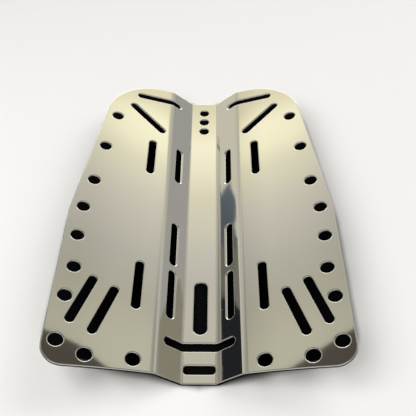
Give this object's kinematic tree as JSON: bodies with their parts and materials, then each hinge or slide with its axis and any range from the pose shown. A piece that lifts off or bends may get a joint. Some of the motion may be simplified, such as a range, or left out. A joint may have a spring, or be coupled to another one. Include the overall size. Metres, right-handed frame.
{
  "type": "backplate",
  "caption": "Folded steel backplate of a diver's wing-type buoyancy compensator: a shallow channel between angled wings, with webbing slots and accessory holes.",
  "frame": {"origin": "under the middle of the channel floor, at the bottom centre of the bounding box", "axes": "+Z from the back of the channel floor towards the diver's back, +Y along the plate from the bottom edge to the shoulders, +X across the plate, to the right when looking from the bottom edge to the shoulders"},
  "size_m": [0.2496, 0.3879, 0.0445],
  "materials": {
    "polished_steel": "mirror-polished stainless steel with a faint grain and bright rounded edges"
  },
  "bodies": {
    "root": {"backplate": "polished_steel"}
  },
  "joints": []
}
